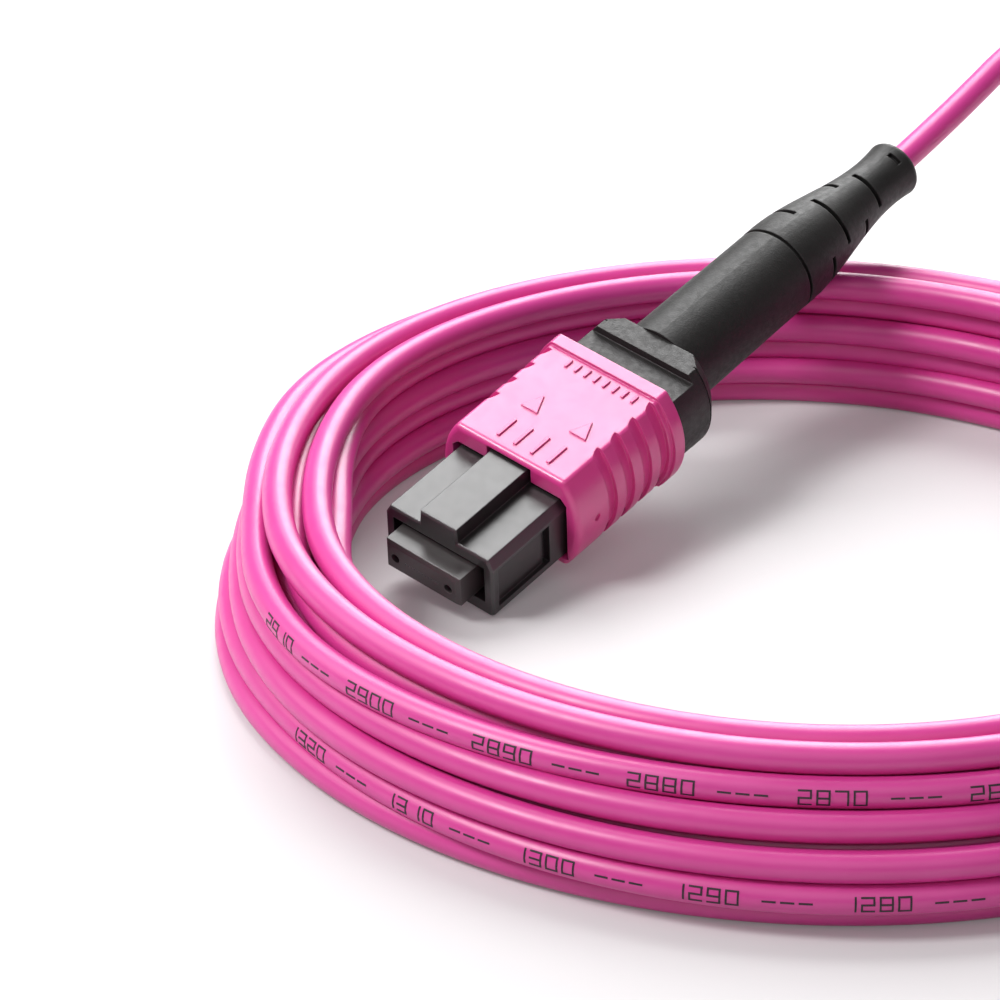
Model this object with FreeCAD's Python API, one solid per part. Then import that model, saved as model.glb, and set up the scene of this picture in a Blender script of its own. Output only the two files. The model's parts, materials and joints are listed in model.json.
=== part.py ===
import FreeCAD, Part
import math
import os

V = FreeCAD.Vector

# Fibre patch cable: one round cable wound into a flat-bottomed coil, with a multi-fibre
# push-on plug at each end. All sizes are millimetres. A plug is drawn in its own frame,
# with x running from the ferrule's end face back to the tail of the boot, y to the left
# and z up, and is then laid in place.

# Cable and coil
cable_diameter = 2.0
coil_centre = V(-11.372, 10.916, 0)
coil_inner_radius = 32.4
coil_crest_radius = 36.4
coil_outer_radius = 38.9
coil_wall_height = 8.35
coil_height = 10.5
coil_rounding = 0.95
lead_straight = 72.0
lead_a_points = (V(32.5, 55.0, 17.0), V(41.5, 47.0, 8.0), V(48.3, 33.5, 1.0), V(45.3, 13.7, 1.0),
                 V(39.4, -3.3, 1.0), V(33.9, -16.1, 1.0))
lead_b_points = (V(18.9, 30.2, 8.6), V(35.1, 21.2, 8.2), V(44.5, 3.5, 3.95))
lead_bend_share = 0.45

# Plug A lies nose down on the floor with its boot over the coil, plug B lies flat on the floor
plug_a_face = V(-25.6, 1.91, 2.98)
plug_a_turn = FreeCAD.Rotation(48.4, -14.7, 10.5)
plug_b_face = V(44.5, -62.9, 3.95)
plug_b_turn = FreeCAD.Rotation(90, 0, 0)

# Ferrule
ferrule_width = 6.4
ferrule_height = 2.45
ferrule_length = 8.0
ferrule_chamfer = 0.25
guide_pitch = 4.6
guide_radius = 0.35
fibre_count = 12
fibre_pitch = 0.25
fibre_radius = 0.0625
fibre_hole_depth = 0.4
flange_width = 7.0
flange_height = 3.0
flange_start = 5.7
window_start = 3.0
window_length = 1.8
window_width = 3.4
window_floor = 0.2

# Pieces behind the ferrule
boot_pocket_width = 3.8
boot_pocket_height = 1.5
boot_pocket_depth = 1.4
boot_pocket_rounding = 0.7
boot_pocket_gap = 0.05
ferrule_boot_end = 10.6
spacer_start = 8.05
spacer_plate = 0.95
spacer_width = 6.8
spacer_boss = 0.8
spacer_boss_width = 4.35
spacer_boss_height = 1.9
spacer_boss_rounding = 0.9
spacer_hole_radius = 0.5
ribbon_start = 7.6
ribbon_width = 3.1
ribbon_height = 0.3
bundle_radius = 0.55
bundle_corner = 0.385
ribbon_end = 30.2

# Inner housing
housing_front = 1.8
housing_rear = 19.9
housing_front_edge = 0.15
housing_width = 9.3
housing_top = 2.35
housing_bottom = -2.75
housing_chamfer_width = 0.42
housing_chamfer_height = 0.8
housing_bottom_edge = 0.25
key_width = 3.1
key_height = 1.15
key_draft = 0.12
key_end = 17.2
key_root = 0.2
mouth_width = 7.9
mouth_top = 1.5
mouth_bottom = -1.65
mouth_depth = 2.7
throat_gap = 0.1
throat_length = 1.1
cavity_width = 7.3
cavity_height = 3.4
cavity_end = 10.6
bore_width = 6.2
side_recess_start = 2.4
side_recess_end = 7.7
side_recess_top = 1.35
side_recess_bottom = -2.05
side_recess_depth = 0.35
latch_slot_length = 0.4
latch_slot_depth = 0.6
latch_window_start = 18.7
latch_window_length = 0.85
latch_window_height = 1.8

# Pull sleeve
sleeve_front = 9.15
sleeve_rear = 20.25
sleeve_top = 4.07
sleeve_bottom = -3.7
sleeve_flat_width = 9.24
sleeve_width = 11.9
sleeve_edge = 0.35
sleeve_front_edge = 0.45
sleeve_cavity_width = 9.9
sleeve_cavity_top = 2.6
sleeve_cavity_bottom = -2.98
sleeve_cavity_edge = 0.5
sleeve_notch_width = 3.8
sleeve_notch_top = 3.72
sleeve_notch_end = 19.0
sleeve_notch_root = 0.5
sleeve_pocket_start = 18.6
sleeve_pocket_radius = 5.42
lip_length = 1.0
lip_height = 0.25
grip_count = 4
grip_start = 13.35
grip_pitch = 1.85
grip_length = 0.95
grip_depth = 0.3
grip_middle_depth = 0.21
mark_height = 0.12
mark_root = 0.1
mark_shift = -0.45
arrow_base = 1.4
arrow_length = 1.6
arrow_start = 13.3
arrow_spacing = 4.2
front_bar_count = 4
front_bar_length = 1.9
front_bar_width = 0.22
front_bar_start = 10.1
front_bar_pitch = 1.45
rear_bar_count = 8
rear_bar_length = 0.75
rear_bar_width = 0.18
rear_bar_start = 18.05
rear_bar_pitch = 0.82
dimple_place = 11.2
dimple_rise = 0.2
dimple_radius = 0.28
dimple_depth = 0.2

# Sleeve springs, one in a channel on each side of the housing
channel_start = 12.0
channel_end = 18.2
channel_height = 1.5
channel_depth = 1.05
tab_start = 12.3
tab_length = 0.7
tab_height = 1.2
tab_gap = 0.15
tab_root = 0.2
side_spring_radius = 0.5
side_spring_wire = 0.1
side_spring_turns = 5
side_spring_front_gap = 0.1
side_spring_rear_gap = 0.05
side_spring_wall_gap = 0.05
wire_sides = 6

# Main spring, oval, round the ribbon
main_spring_start = 9.1
main_spring_end = 15.9
main_spring_radius = 1.2
main_spring_straight = 2.6
main_spring_wire = 0.2
main_spring_turns = 4

# Rear body, with the spring push, the flange and the crimp post
push_front = 16.0
push_width = 6.1
push_height = 3.3
push_slot_width = 3.6
push_slot_height = 1.4
step_start = 20.15
step_top = 2.5
step_bottom = -2.88
collar_start = 23.4
collar_end = 25.2
collar_radius = 5.3
collar_drop = 0.4
collar_top = 3.1
collar_bottom = -3.85
collar_root = 0.4
collar_taper_length = 0.9
collar_taper_depth = 0.7
collar_groove_width = 0.12
collar_groove_depth = 0.15
post_end = 31.4
post_radius = 1.9
post_bore = 1.0
hook_length = 0.65
hook_reach = 4.3
hook_height = 1.6

# Crimp ring, cable end and boot
crimp_start = 25.5
crimp_end = 31.0
crimp_inner = 2.35
crimp_outer = 2.75
jacket_start = 26.0
jacket_neck = 33.0
cable_end_tail = 46.0
boot_end = 52.4
boot_base_radius = 3.4
boot_ring_place = 38.0
boot_ring_radius = 3.3
boot_ring_width = 0.3
boot_ring_depth = 0.3
boot_taper_place = 44.0
boot_taper_radius = 2.72
boot_neck_place = 49.0
boot_neck_radius = 2.0
boot_tail_radius = 2.12
boot_tail_rounding = 0.5
boot_cavity_radius = 2.85
boot_cavity_end = 31.8
boot_bore_start = 34.0
boot_side_slots = (40.8, 45.6)
boot_side_half_angle = 50.0
boot_facing_slots = (43.0, 47.6)
boot_facing_half_angle = 45.0
boot_slot_width = 0.4
boot_slot_depth = 0.55
boot_slot_turn = -33.0
tail_slit_place = 51.0
tail_slit_half_angle = 15.0
tail_slit_turn = -20.0
tail_slit_depth = 0.3

cable_radius = cable_diameter / 2
plug_a_place = FreeCAD.Placement(plug_a_face + coil_centre, plug_a_turn)
plug_b_place = FreeCAD.Placement(plug_b_face + coil_centre, plug_b_turn)


def box(x0, x1, y0, y1, z0, z1):
    """A block between two opposite corners."""
    return Part.makeBox(x1 - x0, y1 - y0, z1 - z0, V(x0, y0, z0))


def centred_box(x0, x1, width, height):
    """A block along x, centred on the plug's axis."""
    return box(x0, x1, -width / 2, width / 2, -height / 2, height / 2)


def rod(x0, x1, radius, y=0, z=0):
    """A cylinder along x."""
    return Part.makeCylinder(radius, x1 - x0, V(x0, y, z), V(1, 0, 0))


def prism(points, x0, x1):
    """A closed outline of (y, z) points, drawn along x."""
    corners = [V(x0, y, z) for y, z in points]
    face = Part.Face(Part.makePolygon(corners + corners[:1]))
    return face.extrude(V(x1 - x0, 0, 0))


def rounded_slab(x0, x1, width, height, radius):
    """A block along x whose four long edges are rounded."""
    block = centred_box(x0, x1, width, height)
    long_edges = [e for e in block.Edges if abs(e.tangentAt(e.FirstParameter).x) > 0.9]
    return block.makeFillet(radius, long_edges)


def turned(points):
    """A closed outline of (x, radius) points, turned about the plug's axis."""
    corners = [V(x, 0, r) for x, r in points]
    face = Part.Face(Part.makePolygon(corners + corners[:1]))
    return face.revolve(V(0, 0, 0), V(1, 0, 0), 360)


def ferrule():
    """The moulded ferrule: guide holes, fibre holes, filling window and rear flange."""
    body = centred_box(0, ferrule_length, ferrule_width, ferrule_height)
    front_edges = [e for e in body.Edges if e.BoundBox.XMax < 0.01]
    body = body.makeChamfer(ferrule_chamfer, front_edges)
    body = body.fuse(centred_box(flange_start, ferrule_length, flange_width, flange_height))
    for side in (-1, 1):
        body = body.cut(rod(-1, ferrule_length + 1, guide_radius, y=side * guide_pitch / 2))
    for k in range(fibre_count):
        place = (k - (fibre_count - 1) / 2) * fibre_pitch
        body = body.cut(rod(-1, fibre_hole_depth, fibre_radius, y=place))
    half = window_width / 2
    window = box(window_start, window_start + window_length, -half, half, window_floor, ferrule_height)
    pocket = rounded_slab(ferrule_length - boot_pocket_depth, ferrule_length + 1,
                          boot_pocket_width, boot_pocket_height, boot_pocket_rounding)
    return body.cut(window).cut(pocket).removeSplitter()


def ferrule_boot():
    """The soft boot that guides the ribbon into the back of the ferrule."""
    gap = boot_pocket_gap
    start = ferrule_length - boot_pocket_depth + gap
    boot = rounded_slab(start, ferrule_boot_end, boot_pocket_width - 2 * gap, boot_pocket_height - 2 * gap,
                        boot_pocket_rounding - gap)
    passage = centred_box(start - 1, ferrule_boot_end + 1, ribbon_width + 2 * gap, ribbon_height + 2 * gap)
    return boot.cut(passage)


def ferrule_spacer():
    """The plate behind the ferrule that carries the main spring."""
    plate_end = spacer_start + spacer_plate
    plate = centred_box(spacer_start, plate_end, spacer_width, flange_height)
    boss = rounded_slab(plate_end, plate_end + spacer_boss, spacer_boss_width, spacer_boss_height,
                        spacer_boss_rounding)
    opening = rounded_slab(spacer_start - 1, plate_end + spacer_boss + 1,
                           boot_pocket_width, boot_pocket_height, boot_pocket_rounding)
    spacer = plate.fuse(boss).cut(opening)
    for side in (-1, 1):
        hole = rod(spacer_start - 1, plate_end + 1, spacer_hole_radius, y=side * guide_pitch / 2)
        spacer = spacer.cut(hole)
    return spacer.removeSplitter()


def fibre_ribbon():
    """The fibres: a flat ribbon at the ferrule that gathers into a round bundle at the post."""
    flat_end = push_front
    round_start = collar_start
    flat = centred_box(ribbon_start, flat_end, ribbon_width, ribbon_height)
    half_width = ribbon_width / 2
    half_height = ribbon_height / 2
    outline = [V(flat_end, -half_width, -half_height), V(flat_end, half_width, -half_height),
               V(flat_end, half_width, half_height), V(flat_end, -half_width, half_height)]
    corner = bundle_corner
    bundle = [V(round_start, -corner, -corner), V(round_start, corner, -corner),
              V(round_start, corner, corner), V(round_start, -corner, corner)]
    wires = [Part.makePolygon(ring + ring[:1]) for ring in (outline, bundle)]
    gather = Part.makeLoft(wires, True, True)
    return flat.fuse(gather).fuse(rod(round_start, ribbon_end, bundle_radius)).removeSplitter()


def wire_outline(centre, along, radius):
    """A six-sided outline of spring wire, square to the way the wire runs."""
    across = along.cross(V(0, 0, 1))
    if across.Length < 0.5:
        across = along.cross(V(0, 1, 0))
    across.normalize()
    up = across.cross(along)
    up.normalize()
    corners = []
    for k in range(wire_sides):
        turn = 2 * math.pi * k / wire_sides
        corners.append(centre + across * (radius * math.cos(turn)) + up * (radius * math.sin(turn)))
    return Part.makePolygon(corners + corners[:1])


def main_spring():
    """The oval spring: straight sides joined by half turns that climb at the same slope."""
    rise = (main_spring_end - main_spring_start - 2 * main_spring_wire) / main_spring_turns
    around = 2 * math.pi * main_spring_radius
    pitch = rise * around / (around + 2 * main_spring_straight)
    side_rise = (rise - pitch) / 2
    half = main_spring_straight / 2
    edges = []
    x = main_spring_start + main_spring_wire
    for turn in range(2 * main_spring_turns):
        side = 1 if turn % 2 else -1
        low = V(x, side * half, side * main_spring_radius)
        high = V(x + side_rise, -side * half, side * main_spring_radius)
        edges.append(Part.makeLine(low, high))
        x += side_rise
        bend = Part.makeHelix(pitch, pitch / 2, main_spring_radius)
        bend.Placement = FreeCAD.Placement(V(x, -side * half, 0), FreeCAD.Rotation(
            V(0, 0, side), V(0, -side, 0), V(1, 0, 0), "ZXY"))
        edges += bend.Edges
        x += pitch / 2
    path = Part.Wire(Part.__sortEdges__(edges))
    start = V(main_spring_start + main_spring_wire, -half, -main_spring_radius)
    outline = wire_outline(start, path.OrderedEdges[0].tangentAt(0), main_spring_wire)
    return path.makePipeShell([outline], True, True)


def inner_housing():
    """The black housing: key, mouth for the ferrule, side recesses and spring channels."""
    half = housing_width / 2
    shoulder = housing_top - housing_chamfer_height
    flat = half - housing_chamfer_width
    edge = housing_bottom_edge
    outline = [(edge - half, housing_bottom), (half - edge, housing_bottom), (half, housing_bottom + edge),
               (half, shoulder), (flat, housing_top), (-flat, housing_top), (-half, shoulder),
               (-half, housing_bottom + edge)]
    housing = prism(outline, housing_front, housing_rear)
    front_edges = [e for e in housing.Edges if e.BoundBox.XMax < housing_front + 0.01]
    housing = housing.makeChamfer(housing_front_edge, front_edges)
    key_half = key_width / 2
    root = housing_top - key_root
    key_outline = [(-key_half - key_draft, root), (key_half + key_draft, root),
                   (key_half, housing_top + key_height), (-key_half, housing_top + key_height)]
    key = prism(key_outline, housing_front, key_end)
    front_edges = [e for e in key.Edges
                   if e.BoundBox.XMax < housing_front + 0.01 and e.BoundBox.ZMax > housing_top]
    housing = housing.fuse(key.makeChamfer(housing_front_edge, front_edges))
    mouth_end = housing_front + mouth_depth
    throat_end = mouth_end + throat_length
    mouth = box(housing_front - 1, mouth_end, -mouth_width / 2, mouth_width / 2, mouth_bottom, mouth_top)
    throat = centred_box(mouth_end - 1, throat_end + 1, ferrule_width + 2 * throat_gap,
                         ferrule_height + 2 * throat_gap)
    cavity = centred_box(throat_end, cavity_end, cavity_width, cavity_height)
    rear_bore = centred_box(cavity_end - 1, housing_rear + 1, bore_width, cavity_height)
    for hollow in (mouth, throat, cavity, rear_bore):
        housing = housing.cut(hollow)
    for side in (-1, 1):
        housing = housing.cut(side_cuts(side))
    return housing.removeSplitter()


def side_cuts(side):
    """What is cut into one side of the housing: recess, latch slot, spring channel, rear window."""
    wall = side * housing_width / 2
    slot_start = side_recess_end - latch_slot_length

    def cut_in(x0, x1, depth, z0, z1):
        inner = wall - side * depth
        outer = wall + side
        return box(x0, x1, min(inner, outer), max(inner, outer), z0, z1)

    recess = cut_in(side_recess_start, side_recess_end, side_recess_depth,
                    side_recess_bottom, side_recess_top)
    slot = cut_in(slot_start, side_recess_end, latch_slot_depth, side_recess_bottom, side_recess_top)
    channel = cut_in(channel_start, channel_end, channel_depth, -channel_height / 2, channel_height / 2)
    window = cut_in(latch_window_start, latch_window_start + latch_window_length, housing_width / 2,
                    -latch_window_height / 2, latch_window_height / 2)
    return recess.fuse([slot, channel, window])


def sleeve_section(grow):
    """The sleeve's outline at its front: flat top and bottom, bowed sides."""
    middle = (sleeve_top + sleeve_bottom) / 2
    flat = sleeve_flat_width / 2
    side = sleeve_width / 2 + grow
    top = sleeve_top + grow
    bottom = sleeve_bottom - grow
    x = sleeve_front
    edges = [Part.makeLine(V(x, flat, top), V(x, -flat, top)),
             Part.Arc(V(x, -flat, top), V(x, -side, middle), V(x, -flat, bottom)).toShape(),
             Part.makeLine(V(x, -flat, bottom), V(x, flat, bottom)),
             Part.Arc(V(x, flat, bottom), V(x, side, middle), V(x, flat, top)).toShape()]
    return Part.Face(Part.Wire(edges))


def grip_grooves():
    """Finger grooves across the bowed sides: each slopes in towards the tail and ends at a wall."""
    rise = (sleeve_top - sleeve_bottom) / 2
    bow = (sleeve_width - sleeve_flat_width) / 2
    side_radius = (rise * rise + bow * bow) / (2 * bow)
    middle = (sleeve_top + sleeve_bottom) / 2
    grooves = []
    for k in range(grip_count):
        wall = grip_start + k * grip_pitch
        start = wall - grip_length
        for side in (-1, 1):
            y = side * (sleeve_width / 2 - side_radius)
            surface = middle + side_radius
            edge = V(start, y, surface)
            deep = V(wall, y, surface - grip_depth)
            scoop = Part.Arc(edge, V((start + wall) / 2, y, surface - grip_middle_depth), deep)
            above = [deep, V(wall, y, surface + 1), V(start, y, surface + 1), edge]
            lines = [Part.makeLine(a, b) for a, b in zip(above, above[1:])]
            face = Part.Face(Part.Wire([scoop.toShape()] + lines))
            grooves.append(face.revolve(V(0, y, middle), V(1, 0, 0), 360))
    return grooves


def sleeve_marks():
    """Raised marks on the top: two arrows that point to the tail and two rows of plain bars."""
    low = sleeve_top - mark_root
    high = sleeve_top + mark_height
    marks = []
    for side in (-1, 1):
        y = mark_shift + side * arrow_spacing / 2
        half = arrow_base / 2
        tip = V(arrow_start + arrow_length, y, low)
        corners = [V(arrow_start, y - half, low), V(arrow_start, y + half, low), tip]
        arrow = Part.Face(Part.makePolygon(corners + corners[:1]))
        marks.append(arrow.extrude(V(0, 0, high - low)))
    rows = ((front_bar_count, front_bar_start, front_bar_length, front_bar_width, front_bar_pitch),
            (rear_bar_count, rear_bar_start, rear_bar_length, rear_bar_width, rear_bar_pitch))
    for count, start, length, width, pitch in rows:
        for k in range(count):
            y = mark_shift + (k - (count - 1) / 2) * pitch
            marks.append(box(start, start + length, y - width / 2, y + width / 2, low, high))
    return marks


def sleeve():
    """The pull sleeve that slides on the housing to free the plug."""
    body = sleeve_section(0).extrude(V(sleeve_rear - sleeve_front, 0, 0))
    long_edges = [e for e in body.Edges if e.BoundBox.XLength > 5]
    body = body.makeFillet(sleeve_edge, long_edges)
    front_edges = [e for e in body.Edges if e.BoundBox.XMax < sleeve_front + 0.01]
    body = body.makeFillet(sleeve_front_edge, front_edges)
    body = body.cut(grip_grooves())
    lip = sleeve_section(lip_height).extrude(V(lip_length, 0, 0))
    lip = lip.makeFillet(sleeve_edge, [e for e in lip.Edges if e.BoundBox.XLength > 0.9 * lip_length])
    lip.translate(V(sleeve_rear - lip_length - sleeve_front, 0, 0))
    body = body.fuse(sleeve_marks() + [lip])
    half = sleeve_cavity_width / 2
    edge = sleeve_cavity_edge
    top = sleeve_cavity_top
    hollow = [(-half, sleeve_cavity_bottom), (half, sleeve_cavity_bottom), (half, top - edge),
              (half - edge, top), (-half + edge, top), (-half, top - edge)]
    body = body.cut(prism(hollow, sleeve_front - 1, sleeve_rear + 1))
    pocket = rod(sleeve_pocket_start, sleeve_rear + 1, sleeve_pocket_radius, z=-collar_drop)
    pocket = pocket.common(box(sleeve_pocket_start, sleeve_rear + 1, -sleeve_width, sleeve_width,
                               sleeve_cavity_bottom, sleeve_cavity_top))
    body = body.cut(pocket)
    notch = box(sleeve_front - 1, sleeve_notch_end, -sleeve_notch_width / 2, sleeve_notch_width / 2,
                sleeve_cavity_top - sleeve_notch_root, sleeve_notch_top)
    body = body.cut(notch)
    wall = housing_width / 2
    for side in (-1, 1):
        inner = side * (wall - channel_depth + tab_gap)
        outer = side * (half + tab_root)
        body = body.fuse(box(tab_start, tab_start + tab_length, min(inner, outer), max(inner, outer),
                             -tab_height / 2, tab_height / 2))
    dimple_floor = V(dimple_place, dimple_depth - sleeve_width / 2, dimple_rise)
    dimple = Part.makeCylinder(dimple_radius, sleeve_width, dimple_floor, V(0, -1, 0))
    return body.cut(dimple).removeSplitter()


def side_spring(side):
    """A small round spring between the sleeve's tab and the end of the housing's channel."""
    start = tab_start + tab_length + side_spring_front_gap + side_spring_wire
    end = channel_end - side_spring_rear_gap - side_spring_wire
    radius = side_spring_radius - side_spring_wire
    helix = Part.makeHelix((end - start) / side_spring_turns, end - start, radius)
    path = Part.Wire(helix.Edges)
    first = path.OrderedEdges[0]
    outline = wire_outline(V(radius, 0, 0), first.tangentAt(first.FirstParameter), side_spring_wire)
    spring = path.makePipeShell([outline], True, True)
    y = side * (housing_width / 2 - channel_depth + side_spring_wall_gap + side_spring_radius)
    spring.Placement = FreeCAD.Placement(V(start, y, 0), FreeCAD.Rotation(V(0, 1, 0), 90))
    return spring


def collar():
    """The round collar behind the sleeve: a low step, then a higher rim with a tapered back edge."""
    overlap = collar_start + collar_root
    reach = 2 * collar_radius
    step = rod(step_start, overlap, collar_radius, z=-collar_drop)
    step = step.common(box(step_start, overlap, -reach, reach, step_bottom, step_top))
    rim = turned([(collar_start, 0), (collar_start, collar_radius),
                  (collar_end - collar_taper_length, collar_radius),
                  (collar_end, collar_radius - collar_taper_depth), (collar_end, 0)])
    rim.translate(V(0, 0, -collar_drop))
    rim = rim.common(box(collar_start, collar_end, -reach, reach, collar_bottom, collar_top))
    line = collar_end - collar_taper_length - collar_groove_width
    groove = rod(line, line + collar_groove_width, reach, z=-collar_drop)
    groove_floor = collar_radius - collar_groove_depth
    groove = groove.cut(rod(line, line + collar_groove_width, groove_floor, z=-collar_drop))
    return step.fuse(rim.cut(groove))


def rear_body():
    """The rear body: spring push with latch hooks, collar with flats and hollow crimp post."""
    push = centred_box(push_front, collar_start + collar_root, push_width, push_height)
    hook_start = latch_window_start + (latch_window_length - hook_length) / 2
    hooks = centred_box(hook_start, hook_start + hook_length, 2 * hook_reach, hook_height)
    post = rod(collar_end - collar_root, post_end, post_radius)
    body = push.fuse([collar(), hooks, post])
    slot = centred_box(push_front - 1, collar_start, push_slot_width, push_slot_height)
    return body.cut(slot).cut(rod(collar_start - 1, post_end + 1, post_bore)).removeSplitter()


def crimp_ring():
    """The metal ring that grips the jacket on the post."""
    return rod(crimp_start, crimp_end, crimp_outer).cut(rod(crimp_start - 1, crimp_end + 1, crimp_inner))


def cable_end():
    """The end of the cable inside the boot, its jacket opened over the crimp post."""
    return turned([(jacket_start, post_radius), (jacket_start, crimp_inner), (crimp_end, crimp_inner),
                   (jacket_neck, cable_radius), (cable_end_tail, cable_radius), (cable_end_tail, 0),
                   (post_end, 0), (post_end, post_radius)])


def boot_radius_at(x):
    """The boot's outer radius between its ring groove and its neck."""
    share = min(1.0, (x - boot_ring_place) / (boot_neck_place - boot_ring_place))
    return boot_ring_radius + (boot_neck_radius - boot_ring_radius) * share


def arc_slot(place, turn, half_angle, depth):
    """A slot cut part of the way round the boot, centred at an angle from the top."""
    outer = boot_radius_at(place) + 1
    inner = boot_radius_at(place) - depth
    corners = [V(place, 0, inner), V(place + boot_slot_width, 0, inner),
               V(place + boot_slot_width, 0, outer), V(place, 0, outer)]
    face = Part.Face(Part.makePolygon(corners + corners[:1]))
    face.rotate(V(0, 0, 0), V(1, 0, 0), -turn - half_angle)
    return face.revolve(V(0, 0, 0), V(1, 0, 0), 2 * half_angle)


def boot():
    """The rubber boot: straight grip, ring groove, slotted taper and flared tail."""
    tail = boot_end - boot_tail_rounding
    taper = Part.BSplineCurve()
    taper.interpolate([V(boot_ring_place, 0, boot_ring_radius), V(boot_taper_place, 0, boot_taper_radius),
                       V(boot_neck_place, 0, boot_neck_radius), V(tail, 0, boot_tail_radius)])
    nose = math.sqrt(0.5) * boot_tail_rounding
    lip_radius = boot_tail_radius - boot_tail_rounding
    rounding = Part.Arc(V(tail, 0, boot_tail_radius), V(tail + nose, 0, lip_radius + nose),
                        V(boot_end, 0, lip_radius))
    corners = [V(boot_end, 0, lip_radius), V(boot_end, 0, cable_radius), V(boot_bore_start, 0, cable_radius),
               V(boot_cavity_end, 0, boot_cavity_radius), V(collar_end, 0, boot_cavity_radius),
               V(collar_end, 0, boot_base_radius), V(boot_ring_place, 0, boot_ring_radius)]
    edges = [taper.toShape(), rounding.toShape()]
    edges += [Part.makeLine(a, b) for a, b in zip(corners, corners[1:])]
    body = Part.Face(Part.Wire(edges)).revolve(V(0, 0, 0), V(1, 0, 0), 360)
    ring = rod(boot_ring_place, boot_ring_place + boot_ring_width, boot_ring_radius + 1)
    ring = ring.cut(rod(boot_ring_place - 1, boot_ring_place + 1, boot_ring_radius - boot_ring_depth))
    cuts = [ring, arc_slot(tail_slit_place, tail_slit_turn, tail_slit_half_angle, tail_slit_depth)]
    rows = ((boot_side_slots, boot_slot_turn + 90, boot_side_half_angle),
            (boot_facing_slots, boot_slot_turn, boot_facing_half_angle))
    for places, across, half_angle in rows:
        for place in places:
            for turn in (across, across + 180):
                cuts.append(arc_slot(place, turn, half_angle, boot_slot_depth))
    return body.cut(cuts)


def coil():
    """The outer form of the wound cable: a pile on a flat base that slopes away at its outer top."""
    corners = [V(coil_inner_radius, 0, 0), V(coil_outer_radius, 0, 0),
               V(coil_outer_radius, 0, coil_wall_height),
               V(coil_crest_radius, 0, coil_height), V(coil_inner_radius, 0, coil_height)]
    face = Part.Face(Part.makePolygon(corners + corners[:1]))
    ring = face.revolve(V(0, 0, 0), V(0, 0, 1), 360)
    upper = [e for e in ring.Edges if e.BoundBox.ZMin > coil_wall_height - 0.1 and e.BoundBox.ZLength < 0.01]
    ring = ring.makeFillet(coil_rounding, upper)
    ring.translate(coil_centre)
    return ring


def cord_tube(points):
    """A round tube along straight runs joined by tangent arcs as large as the runs allow."""
    edges = []
    start = points[0]
    for before, corner, after in zip(points, points[1:], points[2:]):
        back = before - corner
        ahead = after - corner
        reach = lead_bend_share * min(back.Length, ahead.Length)
        turn = math.pi - back.getAngle(ahead)
        radius = reach / math.tan(turn / 2)
        back.normalize()
        ahead.normalize()
        inward = back + ahead
        inward.normalize()
        enter = corner + back * reach
        leave = corner + ahead * reach
        middle = corner + inward * (radius / math.cos(turn / 2) - radius)
        edges.append(Part.LineSegment(start, enter).toShape())
        edges.append(Part.Arc(enter, middle, leave).toShape())
        start = leave
        print("cord turn", round(math.degrees(turn), 1), "degrees, radius", round(radius, 1), "mm")
    edges.append(Part.LineSegment(start, points[-1]).toShape())
    path = Part.Wire(edges)
    first = edges[0]
    ring = Part.Wire(Part.makeCircle(cable_radius, points[0], first.tangentAt(first.FirstParameter)))
    tube = path.makePipeShell([ring], True, True)
    print("cord run", round(path.Length, 1), "mm, volume over section times length",
          round(tube.Volume / (math.pi * cable_radius ** 2 * path.Length), 4))
    return tube


def on_plug(place, x):
    """The point on a plug's axis at a distance behind its ferrule face."""
    return place.multVec(V(x, 0, 0))


def cable_lead_a():
    """From plug A out over the coil, down to the floor and back to the coil's lowest turn."""
    route = [on_plug(plug_a_place, cable_end_tail), on_plug(plug_a_place, lead_straight)]
    route += [coil_centre + point for point in lead_a_points]
    return cord_tube(route)


def cable_lead_b():
    """From the coil's top turn down to plug B on the floor."""
    route = [coil_centre + point for point in lead_b_points]
    route.append(on_plug(plug_b_place, cable_end_tail))
    return cord_tube(route)


def plug_pieces():
    """Every piece of one plug, in the plug's own frame."""
    return {
        "ferrule": ferrule(),
        "ferrule_boot": ferrule_boot(),
        "ferrule_spacer": ferrule_spacer(),
        "fibre_ribbon": fibre_ribbon(),
        "main_spring": main_spring(),
        "inner_housing": inner_housing(),
        "sleeve": sleeve(),
        "sleeve_spring_left": side_spring(1),
        "sleeve_spring_right": side_spring(-1),
        "rear_body": rear_body(),
        "crimp_ring": crimp_ring(),
        "cable_end": cable_end(),
        "boot": boot(),
    }


def main():
    """Builds both plugs and the cable and writes each piece to its own file."""
    os.makedirs("parts", exist_ok=True)
    nodes = {}
    for name, shape in plug_pieces().items():
        for plug, place in (("a", plug_a_place), ("b", plug_b_place)):
            placed = shape.copy()
            placed.Placement = place.multiply(placed.Placement)
            nodes[name + "_" + plug] = placed
    nodes["cable_coil"] = coil()
    nodes["cable_lead_a"] = cable_lead_a().cut(nodes["cable_coil"])
    nodes["cable_lead_b"] = cable_lead_b().cut(nodes["cable_coil"])
    for name, shape in nodes.items():
        shape.exportStep("parts/" + name + ".step")
        print(name, len(shape.Solids), "solid", round(shape.Volume, 2), "mm3", shape.isValid())


main()
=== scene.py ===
# %% [markdown]
# # A coiled fibre patch cable
# The real object is a few metres of thin round cable, wound into a coil, with a keyed plug at each
# end. The plugs are hard moulded pieces, so they come ready made from the CAD frame and only get
# their finishes here. The cable is soft, so it is drawn again here as one long smooth curve.

# %% Load the fixed frame
import bmesh
import bpy
import json
import math
from mathutils import Matrix, Vector


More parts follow.
